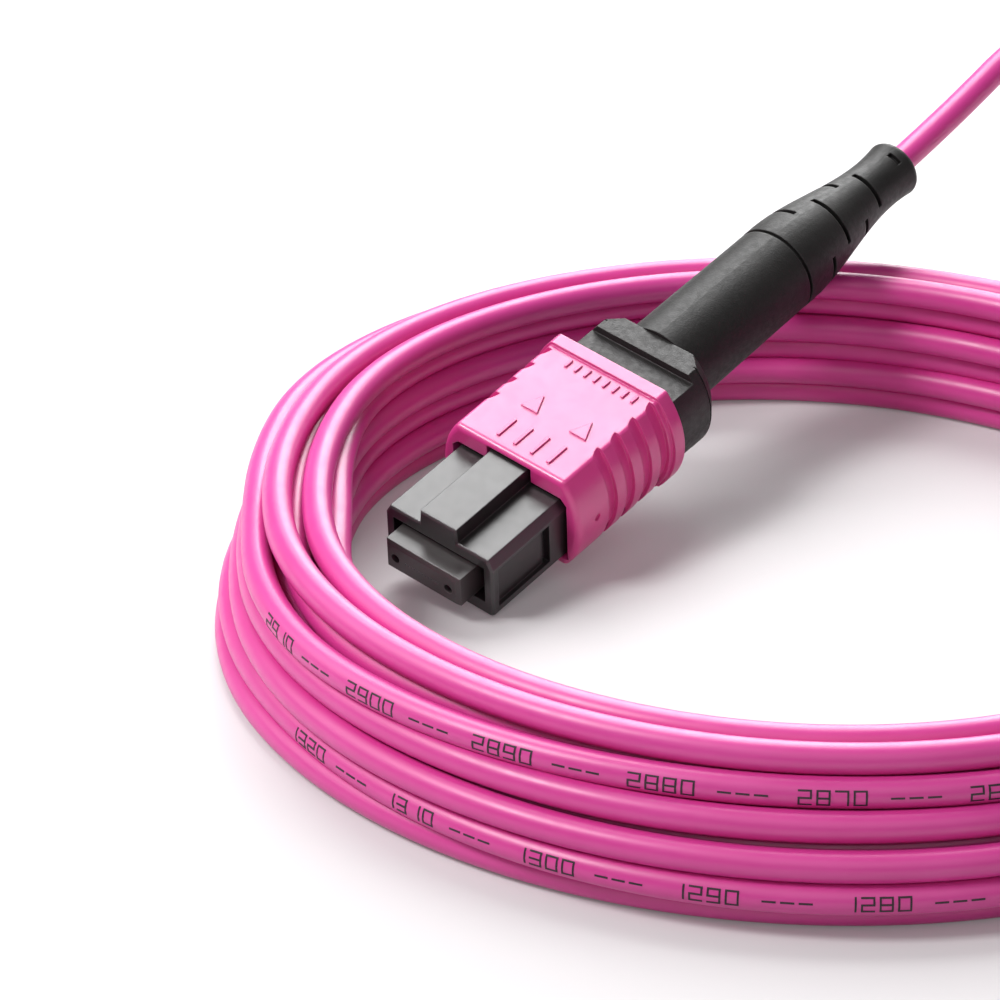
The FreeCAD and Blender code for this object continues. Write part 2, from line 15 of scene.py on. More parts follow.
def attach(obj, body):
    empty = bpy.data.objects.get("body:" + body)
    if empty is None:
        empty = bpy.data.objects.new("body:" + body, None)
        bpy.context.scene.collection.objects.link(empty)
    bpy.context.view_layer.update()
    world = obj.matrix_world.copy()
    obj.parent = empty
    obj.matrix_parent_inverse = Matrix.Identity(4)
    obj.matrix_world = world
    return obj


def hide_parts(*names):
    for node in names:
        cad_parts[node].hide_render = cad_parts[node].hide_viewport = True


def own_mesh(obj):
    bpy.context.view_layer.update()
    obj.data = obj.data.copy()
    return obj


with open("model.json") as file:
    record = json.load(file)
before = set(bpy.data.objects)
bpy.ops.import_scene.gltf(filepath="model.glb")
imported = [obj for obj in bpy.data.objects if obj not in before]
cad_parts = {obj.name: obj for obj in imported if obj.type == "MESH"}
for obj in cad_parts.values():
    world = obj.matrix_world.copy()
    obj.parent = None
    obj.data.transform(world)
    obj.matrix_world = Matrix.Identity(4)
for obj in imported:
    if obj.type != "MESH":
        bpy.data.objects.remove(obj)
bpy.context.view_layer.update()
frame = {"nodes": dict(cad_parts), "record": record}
MM = 0.001

# %% [markdown]
# ## Camera
# The picture was taken with a long lens from low in front, so lines that run away from us hardly
# converge. A long focal length far away gives the same flat drawing. The camera looks straight
# along +Y and only dips, so its place and one angle are all that it needs.

# %% Camera
coil_centre = Vector((-11.372, 10.916, 0)) * MM
camera_offset = Vector((-20.4, -292.1, 155.8)) * MM
camera_dip = 26.62
nearest_seen = 10 * MM


def add_object(name, data):
    """Puts an object with this data into the scene."""
    made = bpy.data.objects.new(name, data)
    bpy.context.scene.collection.objects.link(made)
    return made


camera_data = bpy.data.cameras.new("camera")
camera_data.lens = 180
camera_data.sensor_width = 36
camera_data.clip_start = nearest_seen
camera = add_object("camera", camera_data)
camera.location = coil_centre + camera_offset
camera.rotation_euler = (math.radians(90 - camera_dip), 0, 0)
bpy.context.scene.camera = camera
print("camera at", tuple(round(value, 4) for value in camera.location))

# %% [markdown]
# ## Places in the pile
# A cable is one length of something bendy, so it is one spline from plug to plug. Most of it is
# turns: each is a ring of points at its own place in the pile, three side by side and six high.
# Where a turn ends it steps sideways to the next place, or climbs to the next layer, always on the
# same side of the coil. A screw modifier would give a plain helix with no such steps, so the rings
# are worked out here instead. A NURBS curve runs a little inside its points, so each ring is drawn
# larger by the share that the curve shrinks.

# %% Places in the pile
cable_diameter = 2.0 * MM
cable_radius = cable_diameter / 2
slot_radii = (33.4 * MM, 35.6 * MM, 37.8 * MM)
turn_places = [(0, 2), (0, 1), (0, 0), (1, 0), (1, 1), (1, 2), (2, 2), (2, 1), (2, 0),
               (3, 0), (3, 1), (3, 2), (4, 2), (4, 1), (4, 0), (5, 0), (5, 1)]
points_per_turn = 24
first_azimuth = -30.0
step_start = 0.75
step_length = 0.2
spline_shrink = 1.0086
print(len(turn_places), "turns of", points_per_turn, "points")

# %% [markdown]
# ## Loose turns
# A machine would stack the turns like bricks, and that looks stiff. A cable coiled by hand is held
# at the back by the plug and lies loose in front and on the left. So each side of the coil has its
# own weight from 0 to 1, and each weight adds its own small shifts: layers that stand in and out
# by turns and a gap between two layers in front. On the left the pile fans out like a hand of
# cards, so there each turn has its own distance from the middle.

# %% Looseness of each side
front_shift = (-0.3 * MM, 1.1 * MM, 0.45 * MM, -0.9 * MM, -2.0 * MM, -0.9 * MM)
front_lift = (0.0, -0.3 * MM, -0.2 * MM, -0.1 * MM, -0.25 * MM, -0.4 * MM)
layer_swing = 0.4 * MM
rear_spread = 1.3 * MM
rear_lean = 1.0 * MM
front_lean = 0.4 * MM
left_radii = ((31.8 * MM, 34.6 * MM, 38.2 * MM), (32.3 * MM, 35.1 * MM, 37.9 * MM),
              (31.3 * MM, 34.0 * MM, 37.2 * MM), (32.1 * MM, 34.8 * MM, 36.6 * MM),
              (30.9 * MM, 33.5 * MM, 36.0 * MM), (32.2 * MM, 34.8 * MM))
left_narrowness = 14
hand_wobble = 0.12 * MM
wobble_step = 1.7
layer_pitch = 1.8 * MM
rear_pitch = -0.09 * MM
print(len(left_radii), "layers fan out on the left")

# %% [markdown]
# ## One point of a turn
# All those shifts come together in one function. The way round a turn is an angle, and the distance
# from the middle and the height add up from the place in the pile and from each side's weight.
# Where a turn changes its place an eased share blends the two, because a cable has no sharp
# corners. A noise could shake the turns as well, but it would push neighbours into one another.


# %% One point of a turn
def ease(share):
    """Goes from 0 to 1 with a soft start and a soft end."""
    share = min(1.0, max(0.0, share))
    return share * share * (3 - 2 * share)


def between(low, high, share):
    """The value a share of the way from low to high."""
    return low + (high - low) * share


def coil_point(turn, share):
    """A point of one turn; share runs from 0 to 1 round the coil, clockwise from above."""
    layer, slot = turn_places[turn]
    next_layer, next_slot = turn_places[min(turn + 1, len(turn_places) - 1)]
    azimuth = math.radians(first_azimuth - 360 * share)
    moved = ease((share - step_start) / step_length)
    level = between(layer, next_layer, moved)
    front = max(0.0, -math.sin(azimuth)) ** 2
    rear = max(0.0, math.sin(azimuth)) ** 2
    left = max(0.0, -math.cos(azimuth)) ** left_narrowness
    radius = between(slot_radii[slot], slot_radii[next_slot], moved)
    if next_layer != layer:
        side = -1 if slot == 0 else 1
        radius += side * cable_radius * math.sin(math.pi * moved)
    radius += layer_swing * math.cos(math.pi * level) * (1 - front)
    radius += between(front_shift[layer], front_shift[next_layer], moved) * front
    radius += rear_spread * rear
    radius -= (rear_lean if rear > 0 else front_lean) * math.sin(2 * azimuth)
    fanned = between(left_radii[layer][slot], left_radii[next_layer][next_slot], moved)
    radius = between(radius, fanned, left)
    radius += hand_wobble * math.sin(2 * azimuth + wobble_step * turn)
    height = cable_radius + level * (layer_pitch + rear_pitch * rear)
    height += between(front_lift[layer], front_lift[next_layer], moved) * front
    radius *= spline_shrink
    return coil_centre + Vector((radius * math.cos(azimuth), radius * math.sin(azimuth), height))


print("first turn starts at", tuple(round(value, 4) for value in coil_point(0, 0)))

# %% [markdown]
# ## From plug to plug
# Between the coil and the plugs the cable runs free. It leaves each boot straight, because the
# rubber holds it there. From plug A it rises a little, bends down in an arch behind the coil and
# meets the floor before its first turn. The last turn climbs down from the pile to plug B. A few
# given points are enough for these stretches, and a loop adds the turns between them.

# %% Points from plug to plug
axis_a = Vector((0.642194, 0.723321, 0.253758))
left_a = Vector((-0.765979, 0.618228, 0.176271))
face_a = coil_centre + Vector((-25.6, 1.91, 2.98)) * MM
axis_b = Vector((0, 1, 0))
left_b = Vector((-1, 0, 0))
face_b = coil_centre + Vector((44.5, -62.9, 3.95)) * MM
plugs = (("a", face_a, axis_a, left_a), ("b", face_b, axis_b, left_b))
cable_start = 46.0 * MM
inside_boot = 57.0 * MM
lead_straight = 72.0 * MM
lead_rise = Vector((0, 0, 1.8)) * MM
floor_points = ((32.5, 55.0, 17.0), (41.5, 47.0, 8.0), (48.3, 33.5, 1.0), (45.3, 13.7, 1.0),
                (39.4, -3.3, 1.0))
leaving_points = ((26.5, 26.3, 9.7), (35.1, 21.2, 8.6), (44.5, 3.5, 3.95))
route = [face_a + axis_a * cable_start, face_a + axis_a * inside_boot]
route.append(face_a + axis_a * lead_straight + lead_rise)
route += [coil_centre + Vector(point) * MM for point in floor_points]
last_turn = len(turn_places) - 1
for turn in range(len(turn_places)):
    steps = points_per_turn if turn < last_turn else int(step_start * points_per_turn) + 1
    route += [coil_point(turn, step / points_per_turn) for step in range(steps)]
route += [coil_centre + Vector(point) * MM for point in leaving_points]
route += [face_b + axis_b * inside_boot, face_b + axis_b * cable_start]
print(len(route), "points on the route")

# %% [markdown]
# ## The cable itself
# A NURBS curve with a round bevel is a cable: the points pull the line and it stays smooth between
# them. Order 3 keeps the line close to its points, and the end point setting makes it reach both
# plugs. The order is set after the points are there, because Blender limits it to their number.
# The half thickness is given as the points' own radius, with a bevel of one, because Blender adds
# that radius to the box it keeps round a curve, and the box should fit the cable.

# %% Cable
cable_curve = bpy.data.curves.new("cable", "CURVE")
cable_curve.dimensions = "3D"
cable_curve.resolution_u = 8
cable_curve.bevel_depth = 1.0
cable_curve.bevel_resolution = 6
cable_curve.use_fill_caps = True
spline = cable_curve.splines.new("NURBS")
spline.points.add(len(route) - 1)
for point, place in zip(spline.points, route):
    point.co = (*place, 1)
    point.radius = cable_radius
spline.order_u = 3
spline.use_endpoint_u = True
cable = add_object("cable", cable_curve)
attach(cable, "cable_with_housings")
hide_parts("cable_coil", "cable_lead_a", "cable_lead_b")
print("cable with", len(spline.points), "points")

# %% [markdown]
# ## Line of the cable
# Print on the jacket has to follow the cable, so it needs the cable's middle line. A NURBS curve
# doesn't pass through its own points, so they can't be used for that. Blender gives the true line
# when a copy of the curve without its bevel is turned into a mesh. The distance along that line is
# added up once, and two small functions look things up in it.


# %% Line of the cable
def centreline(curve):
    """The points along the middle of a curve."""
    plain = curve.copy()
    plain.bevel_depth = 0
    holder = bpy.data.objects.new("centreline", plain)
    mesh = bpy.data.meshes.new_from_object(holder)
    points = [vertex.co.copy() for vertex in mesh.vertices]
    bpy.data.objects.remove(holder)
    bpy.data.curves.remove(plain)
    bpy.data.meshes.remove(mesh)
    return points


line = centreline(cable_curve)
line_reach = [0.0]
for before, after in zip(line, line[1:]):
    line_reach.append(line_reach[-1] + (after - before).length)
print("cable line", round(line_reach[-1], 3), "m")


def nearest_reach(place):
    """How far along the cable its line passes closest to a place."""
    closest = min(range(len(line)), key=lambda index: (line[index] - place).length)
    return line_reach[closest]


def line_point(reach):
    """The place on the cable's line at a distance from plug A."""
    after = next(index for index, passed in enumerate(line_reach) if passed >= reach and index > 0)
    step = line_reach[after] - line_reach[after - 1]
    return line[after - 1].lerp(line[after], (reach - line_reach[after - 1]) / step)


# %% [markdown]
# ## Strokes of the print
# A jacket is printed while it is made: a wheel puts dark ink on it. The ink is a thin film with an
# edge, so each stroke is a small curved pad that wraps the jacket and stands about a hundredth of a
# millimetre proud. A texture could show the print too, but pads keep it sharp and need no
# unwrapping of a four metre cable.

# %% Strokes of the print
ink_sink = 0.05 * MM
ink_rise = 0.012 * MM
mark_tilt = math.radians(8)
arc_steps = 4
mark_verts = []
mark_faces = []


def add_stroke(reach_low, reach_high, low, high):
    """A curved pad between two distances along the cable and two heights round it."""
    first = len(mark_verts)
    heights = [between(low, high, step / arc_steps) for step in range(arc_steps + 1)]
    angles = [mark_tilt + height / cable_radius for height in heights]
    rim = [(angle, cable_radius + ink_rise) for angle in angles]
    rim += [(angle, cable_radius - ink_sink) for angle in reversed(angles)]
    for reach in (reach_low, reach_high):
        middle = line_point(reach)
        out = Vector((middle.x - coil_centre.x, middle.y - coil_centre.y, 0)).normalized()
        for angle, radius in rim:
            rise = Vector((0, 0, radius * math.sin(angle)))
            mark_verts.append(middle + out * (radius * math.cos(angle)) + rise)
    count = len(rim)
    for corner in range(count):
        ahead = (corner + 1) % count
        mark_faces.append((first + corner, first + ahead, first + count + ahead, first + count + corner))
    mark_faces.append(tuple(range(first + count - 1, first - 1, -1)))
    mark_faces.append(tuple(range(first + count, first + 2 * count)))


print("a stroke of ink is", round(ink_rise / MM, 3), "mm proud")

# %% [markdown]
# ## Digits and dashes
# A printing wheel carries plain digits. Here they are built from seven straight strokes, as on a
# pocket calculator, each between two corners of a grid that is one cell wide and two high. A text
# object bent along the cable would work too, but its letter forms come from a font.

# %% Digits and dashes
stroke_ends = {"a": ((0, 2), (1, 2)), "b": ((1, 1), (1, 2)), "c": ((1, 0), (1, 1)), "d": ((0, 0), (1, 0)),
               "e": ((0, 0), (0, 1)), "f": ((0, 1), (0, 2)), "g": ((0, 1), (1, 1))}
digit_strokes = ("abcdef", "bc", "abged", "abgcd", "fgbc", "afgcd", "afgedc", "abc", "abcdefg", "abcdfg")
dash_strokes = "g"
digit_width = 0.7 * MM
digit_height = 0.9 * MM
digit_pitch = 1.07 * MM
stroke_half = 0.06 * MM


def add_sign(strokes, reach):
    """One digit or dash whose left edge, seen from outside, is at a distance along the cable."""
    for stroke in strokes:
        (left, bottom), (right, top) = stroke_ends[stroke]
        low = (bottom / 2 - 0.5) * digit_height - stroke_half
        high = (top / 2 - 0.5) * digit_height + stroke_half
        reach_low = reach - right * digit_width - stroke_half
        reach_high = reach - left * digit_width + stroke_half
        add_stroke(reach_low, reach_high, low, high)


print(len(stroke_ends), "strokes for", len(digit_strokes), "digits")

# %% [markdown]
# ## Length marks
# The count goes up along the cable and is its distance from plug A in millimetres, so turns that lie
# one above the other show different numbers. Only a few stretches on the outside of the pile are
# printed, where the marks can be seen. All of them are one mesh, which belongs to the cable.

# %% Length marks
mark_spacing = 10 * MM
marks_in_print = 9
dashes_in_mark = 3
printed_places = ((12, 0.36), (5, 0.34), (11, 0.99), (6, 0.97))
printed = set()
for turn, share in printed_places:
    last_mark = int(nearest_reach(coil_point(turn, share)) / mark_spacing)
    printed.update(range(last_mark - marks_in_print + 1, last_mark + 1))
for mark in sorted(printed):
    reach = mark * mark_spacing
    count = f"{round(reach / MM):04d}"
    for place, digit in enumerate(count):
        add_sign(digit_strokes[int(digit)], reach - place * digit_pitch)
    for dash in range(dashes_in_mark):
        add_sign(dash_strokes, reach - (len(count) + 1 + dash) * digit_pitch)
mark_mesh = bpy.data.meshes.new("length_marks")
mark_mesh.from_pydata(mark_verts, [], mark_faces)
length_marks = add_object("length_marks", mark_mesh)
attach(length_marks, "cable_with_housings")
print("marks with", len(mark_faces), "faces")

# %% [markdown]
# ## Fibre ends
# Twelve glass fibres end in the middle of each ferrule. They are glued in, cut and polished, so they
# fill their holes and stand a hair proud. Each is a short rod here, narrowed a little at its end,
# and the rods of one ferrule are one piece that moves with it.

# %% Fibre ends
fibre_count = 12
fibre_pitch = 0.25 * MM
fibre_radius = 0.06 * MM
fibre_depth = 0.36 * MM
fibre_proud = 0.004 * MM
fibre_sides = 16
tip_share = 0.9
fibre_ends = []
for plug, face, axis, left in plugs:
    rods = bmesh.new()
    turned = axis.to_track_quat("Z", "Y").to_matrix().to_4x4()
    for fibre in range(fibre_count):
        side = (fibre - (fibre_count - 1) / 2) * fibre_pitch
        middle = face + left * side + axis * (fibre_depth - fibre_proud) / 2
        bmesh.ops.create_cone(rods, cap_ends=True, segments=fibre_sides,
                              radius1=tip_share * fibre_radius, radius2=fibre_radius,
                              depth=fibre_depth + fibre_proud, matrix=Matrix.Translation(middle) @ turned)
    rod_mesh = bpy.data.meshes.new("fibre_ends_" + plug)
    rods.to_mesh(rod_mesh)
    rods.free()
    ends = add_object("fibre_ends_" + plug, rod_mesh)
    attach(ends, "sprung_ferrule_" + plug)
    fibre_ends.append(ends)
print("fibre ends on", len(fibre_ends), "ferrules")

# %% [markdown]
# ## Springs
# An oval spring pushes each ferrule forward, and two small ones push each sleeve back to its place.
# A CAD solid is rigid, so a ferrule or sleeve that moves in would run through its springs. A copy of
# each spring's mesh, with a mesh of its own, stands for it here and goes with the housing; it is not
# squashed as the joint moves. Shape keys could squash it, but would have to be kept in step with the
# joint by hand.

# %% Springs
spring_joints = {"main_spring": "ferrule_slide", "sleeve_spring_left": "sleeve_slide",
                 "sleeve_spring_right": "sleeve_slide"}
springs = []
for plug, face, axis, _ in plugs:
    for spring, slide in spring_joints.items():
        node = frame["nodes"][spring + "_" + plug]
        wire = add_object(spring + "_wire_" + plug, node.data.copy())
        wire.matrix_world = node.matrix_world
        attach(wire, "cable_with_housings")
        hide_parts(spring + "_" + plug)
        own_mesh(wire)
        springs.append(wire)

# %% [markdown]
# ## Building node groups
# An effect that several materials share is a node group: it is built once, and each material sets
# its own values on it. Groups are easier to follow when the steps that come back in all of them,
# such as a noise or a mix of two colours, have short functions of their own. The mix node has
# sockets of the same name for each kind of data, so those for colours are found by their number.


# %% Helpers for node groups
noise_middle = (0.35, 0.65)
first_colour_input = 6
second_colour_input = 7
mixed_colour_output = 2


def new_group(name, inputs, outputs):
    """An empty shader node group with its sockets, and its two end nodes."""
    group = bpy.data.node_groups.new(name, "ShaderNodeTree")
    for socket, kind in inputs:
        group.interface.new_socket(socket, in_out="INPUT", socket_type="NodeSocket" + kind)
    for socket, kind in outputs:
        group.interface.new_socket(socket, in_out="OUTPUT", socket_type="NodeSocket" + kind)
    return group, group.nodes.new("NodeGroupInput"), group.nodes.new("NodeGroupOutput")


def add_math(tree, operation, first, second):
    """A math node between an output and either a number or another output."""
    node = tree.nodes.new("ShaderNodeMath")
    node.operation = operation
    tree.links.new(first, node.inputs[0])
    if isinstance(second, (int, float)):
        node.inputs[1].default_value = second
    else:
        tree.links.new(second, node.inputs[1])
    return node.outputs[0]


def add_noise(tree, place, scale, detail):
    """A noise texture at a place, with a scale that comes from another node."""
    node = tree.nodes.new("ShaderNodeTexNoise")
    tree.links.new(place, node.inputs["Vector"])
    tree.links.new(scale, node.inputs["Scale"])
    node.inputs["Detail"].default_value = detail
    return node.outputs["Fac"]


def add_range(tree, value, start, end):
    """Stretches a part of a value's range to the full range from 0 to 1."""
    node = tree.nodes.new("ShaderNodeMapRange")
    tree.links.new(value, node.inputs["Value"])
    node.inputs["From Min"].default_value = start
    node.inputs["From Max"].default_value = end
    return node


def add_gloss(tree, value, start):
    """A roughness between the low and the high one of a group, by the middle of a noise."""
    node = add_range(tree, value, *noise_middle)
    tree.links.new(start.outputs["Low Roughness"], node.inputs["To Min"])
    tree.links.new(start.outputs["High Roughness"], node.inputs["To Max"])
    return node.outputs["Result"]


def add_colour_mix(tree, share, first, second):
    """Mixes two colours by a mask."""
    node = tree.nodes.new("ShaderNodeMix")
    node.data_type = "RGBA"
    tree.links.new(share, node.inputs["Factor"])
    tree.links.new(first, node.inputs[first_colour_input])
    tree.links.new(second, node.inputs[second_colour_input])
    return node.outputs[mixed_colour_output]


print("helpers for groups are ready")

# %% [markdown]
# ## Moulded grain
# Almost everything here was moulded or extruded. Such a surface is never quite even: it has a fine
# grain from the mould's steel, slow patches where the melt cooled differently, and small changes in
# gloss. One node group makes all three from noise in the object's own space, so it needs no
# unwrapping, and each material sets its own scale, colours and gloss.

# %% Moulded grain
surface_inputs = (("Scale", "Float"), ("Colour", "Color"), ("Second Colour", "Color"),
                  ("Low Roughness", "Float"), ("High Roughness", "Float"))
surface_outputs = (("Colour", "Color"), ("Roughness", "Float"), ("Height", "Float"))
patch_share = 0.06
gloss_share = 0.3
patch_ends = (0.3, 0.7)
grain, start, end = new_group("moulded_grain", surface_inputs, surface_outputs)
place = grain.nodes.new("ShaderNodeTexCoord").outputs["Object"]
patch_scale = add_math(grain, "MULTIPLY", start.outputs["Scale"], patch_share)
gloss_scale = add_math(grain, "MULTIPLY", start.outputs["Scale"], gloss_share)
patches = add_noise(grain, place, patch_scale, detail=3)
gloss = add_noise(grain, place, gloss_scale, detail=2)
bumps = add_noise(grain, place, start.outputs["Scale"], detail=2)
shade = add_range(grain, patches, *patch_ends).outputs["Result"]
colour = add_colour_mix(grain, shade, start.outputs["Colour"], start.outputs["Second Colour"])
grain.links.new(colour, end.inputs["Colour"])
grain.links.new(add_gloss(grain, gloss, start), end.inputs["Roughness"])
grain.links.new(bumps, end.inputs["Height"])
print("group", grain.name, "with", len(grain.nodes), "nodes")

# %% [markdown]
# ## Worn and highlit edges
# Corners of a moulded plug are never perfectly sharp, and handling rubs them first. The bevel node
# gives the normal that a small rounding would have. Where it differs from the real normal there is
# an edge, and that difference is a ready mask: it lifts the colour, partly as rubbed wear and partly
# as a painted highlight along the edges, and it softens the shading.

# %% Worn and highlit edges
edge_start = 0.995
edge_full = 0.85
wear_and_highlight, start, end = new_group("worn_and_highlit_edges",
                             (("Colour", "Color"), ("Worn and Highlit Colour", "Color"), ("Rounding", "Float"),
                              ("Amount", "Float")),
                             (("Colour", "Color"), ("Normal", "Vector")))
rounding = wear_and_highlight.nodes.new("ShaderNodeBevel")
rounding.samples = 6
wear_and_highlight.links.new(start.outputs["Rounding"], rounding.inputs["Radius"])
likeness = wear_and_highlight.nodes.new("ShaderNodeVectorMath")
likeness.operation = "DOT_PRODUCT"
wear_and_highlight.links.new(rounding.outputs["Normal"], likeness.inputs[0])
wear_and_highlight.links.new(wear_and_highlight.nodes.new("ShaderNodeNewGeometry").outputs["Normal"], likeness.inputs[1])
edge = add_range(wear_and_highlight, likeness.outputs["Value"], edge_start, edge_full)
rubbed_and_highlit = add_math(wear_and_highlight, "MULTIPLY", edge.outputs["Result"], start.outputs["Amount"])
# The edge mask lifts the colour towards the pale one: rubbed wear and a painted highlight.
colour = add_colour_mix(wear_and_highlight, rubbed_and_highlit, start.outputs["Colour"], start.outputs["Worn and Highlit Colour"])
wear_and_highlight.links.new(colour, end.inputs["Colour"])
wear_and_highlight.links.new(rounding.outputs["Normal"], end.inputs["Normal"])
print("group", wear_and_highlight.name, "with", len(wear_and_highlight.nodes), "nodes")

# %% [markdown]
# ## Drawn metal
# Spring wire and stamped plate carry fine lines from the die. Stretching a noise along one way
# gives such lines; they change the gloss more than the colour. An anisotropic shader would smear the
# highlights in the same way, but shows no single lines from close by.

# %% Drawn metal
line_stretch = (1.0, 0.12, 1.0)
drawn, start, end = new_group("drawn_metal", surface_inputs, surface_outputs)
stretch = drawn.nodes.new("ShaderNodeMapping")
stretch.inputs["Scale"].default_value = line_stretch
drawn.links.new(drawn.nodes.new("ShaderNodeTexCoord").outputs["Object"], stretch.inputs["Vector"])
lines = add_noise(drawn, stretch.outputs["Vector"], start.outputs["Scale"], detail=4)
colour = add_colour_mix(drawn, lines, start.outputs["Colour"], start.outputs["Second Colour"])
drawn.links.new(colour, end.inputs["Colour"])
drawn.links.new(add_gloss(drawn, lines, start), end.inputs["Roughness"])
drawn.links.new(lines, end.inputs["Height"])
print("group", drawn.name, "with", len(drawn.nodes), "nodes")

# %% [markdown]
# ## Finishes
# Each finish is one Principled shader fed by the groups above. What is the same all over, such as
# the metal look or the index that sets the strength of the gloss, is written straight on the
# shader. What changes over the surface comes from a group: colour, roughness and bumps.


# %% Helpers for finishes
finishes = {}


def new_finish(name, group, scale, colours, roughness, bump, index=1.5, metallic=0.0):
    """A material whose colour, gloss and bumps come from one group."""
    finish = bpy.data.materials.new(name)
    finish.use_nodes = True
    tree = finish.node_tree
    shader = tree.nodes["Principled BSDF"]
    shader.inputs["IOR"].default_value = index
    shader.inputs["Metallic"].default_value = metallic
    surface = tree.nodes.new("ShaderNodeGroup")
    surface.name = "surface"
    surface.node_tree = group
    surface.inputs["Scale"].default_value = scale
    surface.inputs["Colour"].default_value = (*colours[0], 1)
    surface.inputs["Second Colour"].default_value = (*colours[1], 1)
    surface.inputs["Low Roughness"].default_value = roughness[0]
    surface.inputs["High Roughness"].default_value = roughness[1]
    bumps = tree.nodes.new("ShaderNodeBump")
    bumps.name = "bumps"
    bumps.inputs["Distance"].default_value = bump
    bumps.inputs["Strength"].default_value = 1.0
    tree.links.new(surface.outputs["Height"], bumps.inputs["Height"])
    tree.links.new(surface.outputs["Colour"], shader.inputs["Base Color"])
    tree.links.new(surface.outputs["Roughness"], shader.inputs["Roughness"])
    tree.links.new(bumps.outputs["Normal"], shader.inputs["Normal"])
    finishes[name] = finish
    print("finish", name)


def add_worn_and_highlit_edges(name, worn_and_highlit_colour, rounding, amount):
    """Puts the pale edges, partly wear and partly a painted highlight, between the grain and the shader
    of a finish.
    """
    tree = finishes[name].node_tree
    edges = tree.nodes.new("ShaderNodeGroup")
    edges.node_tree = wear_and_highlight
    edges.inputs["Worn and Highlit Colour"].default_value = (*worn_and_highlit_colour, 1)
    edges.inputs["Rounding"].default_value = rounding
    edges.inputs["Amount"].default_value = amount
    tree.links.new(tree.nodes["surface"].outputs["Colour"], edges.inputs["Colour"])
    tree.links.new(edges.outputs["Colour"], tree.nodes["Principled BSDF"].inputs["Base Color"])
    tree.links.new(edges.outputs["Normal"], tree.nodes["bumps"].inputs["Normal"])


print("helpers for finishes are ready")

# %% [markdown]
# ## Jacket and sleeve
# Both are dyed right through in nearly the same magenta. The jacket is pressed through a ring and
# comes out smooth and satin; the sleeve is moulded a little finer and pinker, and its edges are
# paler, partly from handling and partly as a painted highlight. Their index is above that of plain
# plastic, which stands for the strong sheen along the upper side of every turn. A clear coat on top
# would do that too, but would be too sharp.

# %% Jacket and sleeve
new_finish("jacket_magenta", grain, scale=2500, colours=((0.62, 0.036, 0.27), (0.65, 0.046, 0.295)),
           roughness=(0.36, 0.42), bump=0.003 * MM, index=1.65)
new_finish("sleeve_pink", grain, scale=5000, colours=((0.64, 0.040, 0.245), (0.67, 0.050, 0.270)),
           roughness=(0.30, 0.36), bump=0.002 * MM, index=1.75)
# Pale sleeve edges: rubbed wear and a painted highlight.
add_worn_and_highlit_edges("sleeve_pink", worn_and_highlit_colour=(0.78, 0.16, 0.40), rounding=0.12 * MM, amount=0.5)

# %% [markdown]
# ## Black plastic and rubber
# Three blacks sit side by side on a plug and are told apart by their gloss alone. The housing is hard
# and smooth and mirrors the lamp above it; the collar comes from a sanded mould; the boot is soft
# rubber, darker still and matt. So their colours are nearly the same and their grain is not.

# %% Black plastic and rubber
new_finish("housing_black", grain, scale=5500, colours=((0.014, 0.012, 0.012), (0.016, 0.014, 0.015)),
           roughness=(0.32, 0.36), bump=0.0005 * MM, index=1.7)
# Here and below, the paler edges of the blacks are rubbed wear and a painted highlight.
add_worn_and_highlit_edges("housing_black", worn_and_highlit_colour=(0.09, 0.085, 0.085), rounding=0.1 * MM, amount=0.6)
new_finish("collar_black", grain, scale=8000, colours=((0.007, 0.006, 0.006), (0.013, 0.011, 0.011)),
           roughness=(0.43, 0.55), bump=0.018 * MM)
add_worn_and_highlit_edges("collar_black", worn_and_highlit_colour=(0.06, 0.056, 0.056), rounding=0.1 * MM, amount=0.5)
new_finish("boot_black", grain, scale=8000, colours=((0.005, 0.0045, 0.0042), (0.009, 0.008, 0.0075)),
           roughness=(0.47, 0.58), bump=0.018 * MM, index=1.46)
add_worn_and_highlit_edges("boot_black", worn_and_highlit_colour=(0.035, 0.033, 0.033), rounding=0.12 * MM, amount=0.4)

# %% [markdown]
# ## Ferrule, ink and fibres
# The ferrule is filled with glass to keep its size, which makes it greyer than the housing, and its
# end is polished. The ink and the soft piece behind the ferrule are a dull black. The fibres are
# glass: their ends are so small that a dark, glossy colour looks the same as clear glass would and
# needs no light to pass through.

# %% Ferrule, ink and fibres
new_finish("ferrule_dark", grain, scale=7000, colours=((0.034, 0.029, 0.029), (0.040, 0.035, 0.035)),
           roughness=(0.30, 0.34), bump=0.0005 * MM, index=1.6)
# Paler ferrule edges: rubbed wear and a painted highlight.
add_worn_and_highlit_edges("ferrule_dark", worn_and_highlit_colour=(0.14, 0.13, 0.13), rounding=0.08 * MM, amount=0.6)
new_finish("soft_black", grain, scale=4000, colours=((0.012, 0.004, 0.010), (0.030, 0.010, 0.020)),
           roughness=(0.45, 0.6), bump=0.002 * MM)
new_finish("fibre_coating", grain, scale=3000, colours=((0.05, 0.06, 0.065), (0.08, 0.10, 0.105)),
           roughness=(0.12, 0.25), bump=0.0005 * MM, index=1.46)

# %% [markdown]
# ## Metals
# Metal is found only inside the plugs: steel wire in the springs, a stamped steel plate behind the
# ferrule and a plated ring that crimps the jacket. All three use the drawn lines, with Metallic at
# one, so that their colour tints what they mirror.

# %% Metals
new_finish("spring_steel", drawn, scale=6000, colours=((0.62, 0.61, 0.60), (0.48, 0.47, 0.46)),
           roughness=(0.22, 0.36), bump=0.002 * MM, metallic=1.0)
new_finish("spacer_steel", drawn, scale=4000, colours=((0.56, 0.56, 0.57), (0.46, 0.46, 0.47)),
           roughness=(0.26, 0.42), bump=0.003 * MM, metallic=1.0)
new_finish("crimp_metal", drawn, scale=3000, colours=((0.76, 0.70, 0.58), (0.62, 0.56, 0.45)),
           roughness=(0.2, 0.34), bump=0.003 * MM, metallic=1.0)

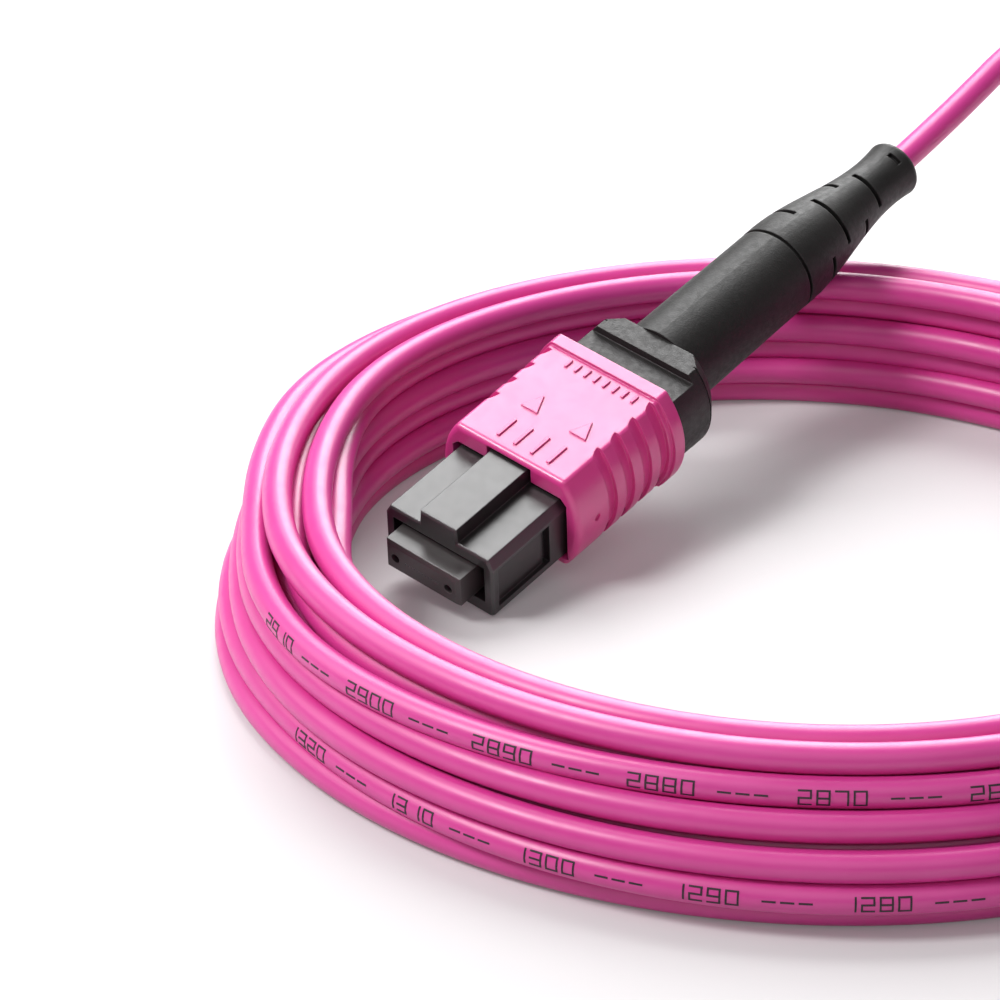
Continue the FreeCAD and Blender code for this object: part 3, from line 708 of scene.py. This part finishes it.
# %% [markdown]
# ## Dressing the pieces
# The record says which finish each CAD piece was planned to have, so a loop over it dresses them
# all. The meshes stay as they are; only what is in their material slots changes. The rear body is
# the one exception: what shows of it is the collar, which has a rougher finish than the housing.

# %% Dress the pieces
for subpart in frame["record"]["subparts"]:
    piece = frame["nodes"][subpart["node"]]
    for holder in piece.material_slots:
        holder.material = finishes[subpart["material_slot"]]
for plug in ("a", "b"):
    frame["nodes"]["rear_body_" + plug].material_slots[0].material = finishes["collar_black"]
cable_curve.materials.append(finishes["jacket_magenta"])
mark_mesh.materials.append(finishes["soft_black"])
for ends in fibre_ends:
    ends.data.materials.append(finishes["fibre_coating"])
for wire in springs:
    for holder in wire.material_slots:
        holder.material = finishes["spring_steel"]
print(len(frame["nodes"]), "CAD pieces dressed")

# %% [markdown]
# ## Floor
# The cable lies on a white sheet that goes on past the edges of the picture. One large square face
# does for it, because it only has to catch light and shadow. It is part of the stage and not of the
# cable.

# %% Floor
floor_reach = 3.0
floor_corners = [(-floor_reach, -floor_reach, 0), (floor_reach, -floor_reach, 0),
                 (floor_reach, floor_reach, 0), (-floor_reach, floor_reach, 0)]
floor_mesh = bpy.data.meshes.new("floor")
floor_mesh.from_pydata(floor_corners, [], [(0, 1, 2, 3)])
floor = add_object("floor", floor_mesh)
print("floor", 2 * floor_reach, "m wide")

# %% [markdown]
# ## White paper
# A sheet that only reflects would turn grey where the lamps fade. So white is added to it, for rays
# that come from the camera or by way of a gloss: little near the coil, where the shadow has to
# stay, and more the further away it is. Stronger lamps would whiten it too, but would bleach the
# cable with it.

# %% White paper
lit_reach = 0.05
dark_reach = 0.30
near_white = 0.1
far_white = 0.92
paper_colour = (0.59, 0.58, 0.585, 1)
paper_glow = (1, 0.99, 1, 1)
paper_roughness = 0.8
paper = bpy.data.materials.new("white_paper")
paper.use_nodes = True
tree = paper.node_tree
shader = tree.nodes["Principled BSDF"]
shader.inputs["Base Color"].default_value = paper_colour
shader.inputs["Roughness"].default_value = paper_roughness
shader.inputs["Emission Color"].default_value = paper_glow
ray = tree.nodes.new("ShaderNodeLightPath")
seen = add_math(tree, "MAXIMUM", ray.outputs["Is Camera Ray"], ray.outputs["Is Glossy Ray"])
away = tree.nodes.new("ShaderNodeVectorMath")
away.operation = "LENGTH"
tree.links.new(tree.nodes.new("ShaderNodeTexCoord").outputs["Object"], away.inputs[0])
fade = add_range(tree, away.outputs["Value"], lit_reach, dark_reach)
fade.interpolation_type = "SMOOTHSTEP"
fade.inputs["To Min"].default_value = near_white
fade.inputs["To Max"].default_value = far_white
added = add_math(tree, "MULTIPLY", seen, fade.outputs["Result"])
tree.links.new(added, shader.inputs["Emission Strength"])
floor_mesh.materials.append(paper)
print("paper adds", near_white, "of white near the coil and", far_white, "far away")

# %% [markdown]
# ## Lamps
# Soft square lamps do what a studio does with boxes of cloth. The main one stands to the left, a
# little in front, and draws the plug's shadow to the right. A larger one hangs behind and above:
# flat tops and the upper edge of every turn mirror it, which is the pale sheen on them. Low ones
# far behind and close on the left light the back and the left of the pile, and a weak one in front
# opens the dark sides. Point lamps would leave hard shadows and small, hard glints.


# %% Lights
def soft_light(name, place, power, size):
    """A square lamp that faces the middle of the coil."""
    data = bpy.data.lights.new(name, "AREA")
    data.energy = power
    data.size = size
    lamp = add_object(name, data)
    lamp.location = coil_centre + Vector(place)
    lamp.rotation_euler = (-Vector(place)).to_track_quat("-Z", "Y").to_euler()
    print(name, power, "W")


soft_light("key_light", place=(-0.32, -0.11, 0.42), power=1.7, size=0.15)
soft_light("top_light", place=(-0.04, 0.35, 0.48), power=3.2, size=0.36)
soft_light("rear_light", place=(0.10, 0.50, 0.24), power=1.8, size=0.30)
soft_light("left_light", place=(-0.27, 0.06, 0.20), power=0.4, size=0.25)
soft_light("front_light", place=(0.02, -0.44, 0.44), power=0.75, size=0.50)

# %% [markdown]
# ## Surroundings
# The world is white where the camera sees it. In a gloss it is much dimmer, so that black rubber
# stays black, and as light it adds only a little. Light Path tells the three apart, so one
# background does for all. A picture of a studio would light it too, but would have to be kept
# beside the script.

# %% Surroundings
sky_level = 0.12
mirrored_level = 0.22
world = bpy.data.worlds.new("studio")
bpy.context.scene.world = world
world.use_nodes = True
tree = world.node_tree
sky = tree.nodes["Background"]
sky.inputs["Color"].default_value = (1, 1, 1, 1)
ray = tree.nodes.new("ShaderNodeLightPath")
mirrored = add_math(tree, "MULTIPLY", ray.outputs["Is Glossy Ray"], mirrored_level)
seen = add_math(tree, "MAXIMUM", ray.outputs["Is Camera Ray"], mirrored)
tree.links.new(add_math(tree, "MAXIMUM", seen, sky_level), sky.inputs["Strength"])
bpy.context.scene.view_settings.view_transform = "Standard"
print("world", sky_level, "as light and", mirrored_level, "in a gloss")
